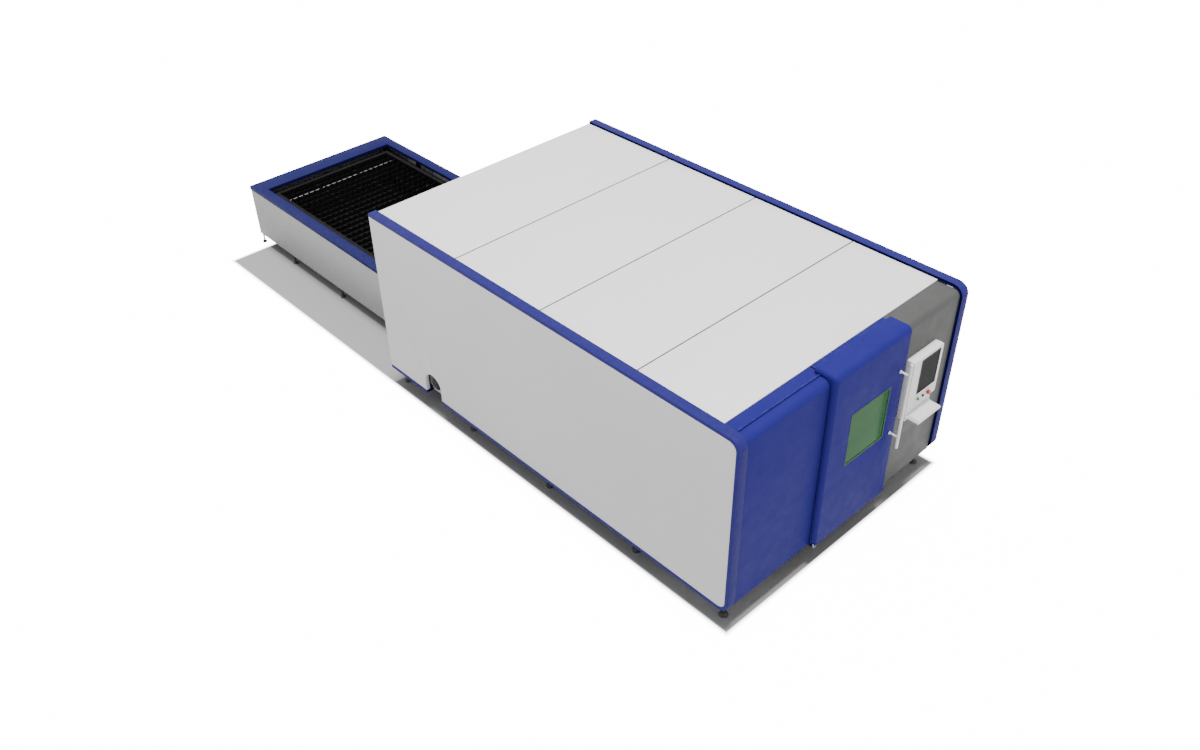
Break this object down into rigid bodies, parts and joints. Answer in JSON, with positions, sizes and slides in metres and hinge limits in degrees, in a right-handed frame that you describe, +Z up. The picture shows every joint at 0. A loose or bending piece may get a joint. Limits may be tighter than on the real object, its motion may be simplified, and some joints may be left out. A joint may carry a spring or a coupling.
{
  "type": "fiber laser cutting machine",
  "caption": "Enclosed sheet-metal laser cutter with a sliding front door, an operator console, a gantry inside and a two-level pallet shuttle table behind.",
  "frame": {"origin": "bottom centre of the whole machine's box, on the floor", "axes": "+Z up; -Y towards the operator at the door; +Y along the shuttle table; +X to the operator's right"},
  "size_m": [3, 8.54, 2.075],
  "materials": {
    "wall_blue": "satin powder coat",
    "wall_grey": "fine textured powder coat",
    "roof_paint": "fine textured powder coat",
    "frame_steel": "matt primer",
    "front_blue": "satin powder coat",
    "console_panel_grey": "satin powder coat",
    "laser_glass": "tinted laser-safe acrylic",
    "gasket_rubber": "matt rubber",
    "console_white": "satin powder coat",
    "screen_black": "gloss glass front",
    "key_plastic": "matt plastic",
    "green_button": "gloss",
    "black_button": "gloss",
    "red_button": "gloss",
    "rail_steel": "ground",
    "zinc_steel": "galvanised sheet",
    "foot_black": "blackened steel",
    "pallet_black": "matt black",
    "slat_steel": "scaled hot-rolled steel",
    "wheel_steel": "turned and oiled",
    "cast_housing": "painted casting",
    "gantry_paint": "satin paint",
    "head_anodised": "anodised",
    "nozzle_brass": "turned",
    "cabinet_grey": "textured powder coat",
    "table_blue": "satin powder coat",
    "skirt_grey": "fine textured powder coat"
  },
  "bodies": {
    "cabin": {"bed_cross_members": "frame_steel", "bed_pallet_rails": "frame_steel", "bed_side_beams": "frame_steel", "cabin_frame": "frame_steel", "console_front_panel": "console_panel_grey", "console_housing": "console_white", "console_screen": "screen_black", "door_floor_guide": "rail_steel", "door_top_rail": "rail_steel", "drive_chains": "wheel_steel", "electrical_cabinet": "cabinet_grey", "exhaust_duct": "zinc_steel", "fixed_front_panel": "front_blue", "gantry_guideways": "rail_steel", "laser_source": "cabinet_grey", "left_wall_panel": "wall_grey", "left_wall_rim": "wall_blue", "levelling_feet": "foot_black", "rear_wall": "frame_steel", "right_wall_panel": "wall_grey", "right_wall_rim": "wall_blue", "roof_panels": "roof_paint", "scrap_trays": "zinc_steel", "shaft_bearings": "cast_housing", "shutter_guides": "frame_steel", "shuttle_gearmotor": "cast_housing", "table_frame": "frame_steel", "table_pallet_rails": "frame_steel", "table_rim": "table_blue", "table_skirts": "skirt_grey", "table_tray": "pallet_black"},
    "door": {"sliding_door": "front_blue", "door_lining": "front_blue", "window_gasket": "gasket_rubber", "door_window": "laser_glass", "door_handle": "console_white", "door_carriages": "rail_steel"},
    "gantry": {"gantry_beam": "gantry_paint", "gantry_beam_rails": "rail_steel", "gantry_end_blocks": "gantry_paint"},
    "cross_carriage": {"head_carriage": "gantry_paint"},
    "head": {"vertical_slide": "gantry_paint", "cutting_head": "head_anodised", "nozzle": "nozzle_brass"},
    "upper_pallet": {"upper_pallet_frame": "pallet_black", "upper_pallet_slats": "slat_steel"},
    "upper_front_wheels": {"upper_front_wheelset": "wheel_steel"},
    "upper_rear_wheels": {"upper_rear_wheelset": "wheel_steel"},
    "lower_pallet": {"lower_pallet_frame": "pallet_black", "lower_pallet_slats": "slat_steel"},
    "lower_front_wheels": {"lower_front_wheelset": "wheel_steel"},
    "lower_rear_wheels": {"lower_rear_wheelset": "wheel_steel"},
    "drive_shaft": {"drive_shaft": "wheel_steel"},
    "idlers": {"idler_sprockets": "wheel_steel"},
    "shutter": {"rear_shutter": "zinc_steel"},
    "keyboard_tray": {"keyboard_shelf": "console_white", "keyboard": "key_plastic"},
    "start_button": {"start_button": "green_button"},
    "stop_button": {"stop_button": "black_button"},
    "emergency_stop": {"emergency_stop": "red_button"}
  },
  "joints": [
    {"name": "door_slide", "type": "slide", "parent": "cabin", "child": "door", "axis": [-1, 0, 0], "range_m": [0, 0.96]},
    {"name": "gantry_travel", "type": "slide", "parent": "cabin", "child": "gantry", "axis": [0, 1, 0], "range_m": [0, 2.98]},
    {"name": "head_cross_travel", "type": "slide", "parent": "gantry", "child": "cross_carriage", "axis": [1, 0, 0], "range_m": [-0.75, 0.75]},
    {"name": "head_lift", "type": "slide", "parent": "cross_carriage", "child": "head", "axis": [0, 0, -1], "range_m": [0, 0.22]},
    {"name": "upper_pallet_shuttle", "type": "slide", "parent": "cabin", "child": "upper_pallet", "axis": [0, -1, 0], "range_m": [0, 3.6]},
    {"name": "upper_front_wheel_spin", "type": "hinge", "parent": "upper_pallet", "child": "upper_front_wheels", "pos_m": [0, 0.85, 0.6503], "axis": [1, 0, 0], "range_deg": [0, 5170]},
    {"name": "upper_rear_wheel_spin", "type": "hinge", "parent": "upper_pallet", "child": "upper_rear_wheels", "pos_m": [0, 3.83, 0.6503], "axis": [1, 0, 0], "range_deg": [0, 5170]},
    {"name": "lower_pallet_shuttle", "type": "slide", "parent": "cabin", "child": "lower_pallet", "axis": [0, 1, 0], "range_m": [0, 3.6]},
    {"name": "lower_front_wheel_spin", "type": "hinge", "parent": "lower_pallet", "child": "lower_front_wheels", "pos_m": [0, -2.75, 0.5003], "axis": [1, 0, 0], "range_deg": [-5170, 0]},
    {"name": "lower_rear_wheel_spin", "type": "hinge", "parent": "lower_pallet", "child": "lower_rear_wheels", "pos_m": [0, 0.23, 0.5003], "axis": [1, 0, 0], "range_deg": [-5170, 0]},
    {"name": "drive_shaft_spin", "type": "hinge", "parent": "cabin", "child": "drive_shaft", "pos_m": [0, 4.12, 0.565], "axis": [1, 0, 0], "range_deg": [0, 2760]},
    {"name": "idler_spin", "type": "hinge", "parent": "cabin", "child": "idlers", "pos_m": [0, 0.31, 0.565], "axis": [1, 0, 0], "range_deg": [0, 2760]},
    {"name": "shutter_drop", "type": "slide", "parent": "cabin", "child": "shutter", "axis": [0, 0, -1], "range_m": [0, 0.36]},
    {"name": "keyboard_tray_fold", "type": "hinge", "parent": "cabin", "child": "keyboard_tray", "pos_m": [0, -4.152, 1.058], "axis": [1, 0, 0], "range_deg": [0, 90]},
    {"name": "start_button_press", "type": "slide", "parent": "cabin", "child": "start_button", "axis": [0, 1, 0], "range_m": [0, 0.004], "stiffness_N_per_m": 600},
    {"name": "stop_button_press", "type": "slide", "parent": "cabin", "child": "stop_button", "axis": [0, 1, 0], "range_m": [0, 0.004], "stiffness_N_per_m": 600},
    {"name": "emergency_stop_press", "type": "slide", "parent": "cabin", "child": "emergency_stop", "axis": [0, 1, 0], "range_m": [0, 0.004]}
  ],
  "couplings": [
    {"joint": "lower_pallet_shuttle", "follows": "upper_pallet_shuttle", "ratio": 1},
    {"joint": "upper_front_wheel_spin", "follows": "upper_pallet_shuttle", "rad_per_m": 25},
    {"joint": "upper_rear_wheel_spin", "follows": "upper_pallet_shuttle", "rad_per_m": 25},
    {"joint": "lower_front_wheel_spin", "follows": "upper_pallet_shuttle", "rad_per_m": -25},
    {"joint": "lower_rear_wheel_spin", "follows": "upper_pallet_shuttle", "rad_per_m": -25},
    {"joint": "drive_shaft_spin", "follows": "upper_pallet_shuttle", "rad_per_m": 13.333},
    {"joint": "idler_spin", "follows": "upper_pallet_shuttle", "rad_per_m": 13.333}
  ]
}
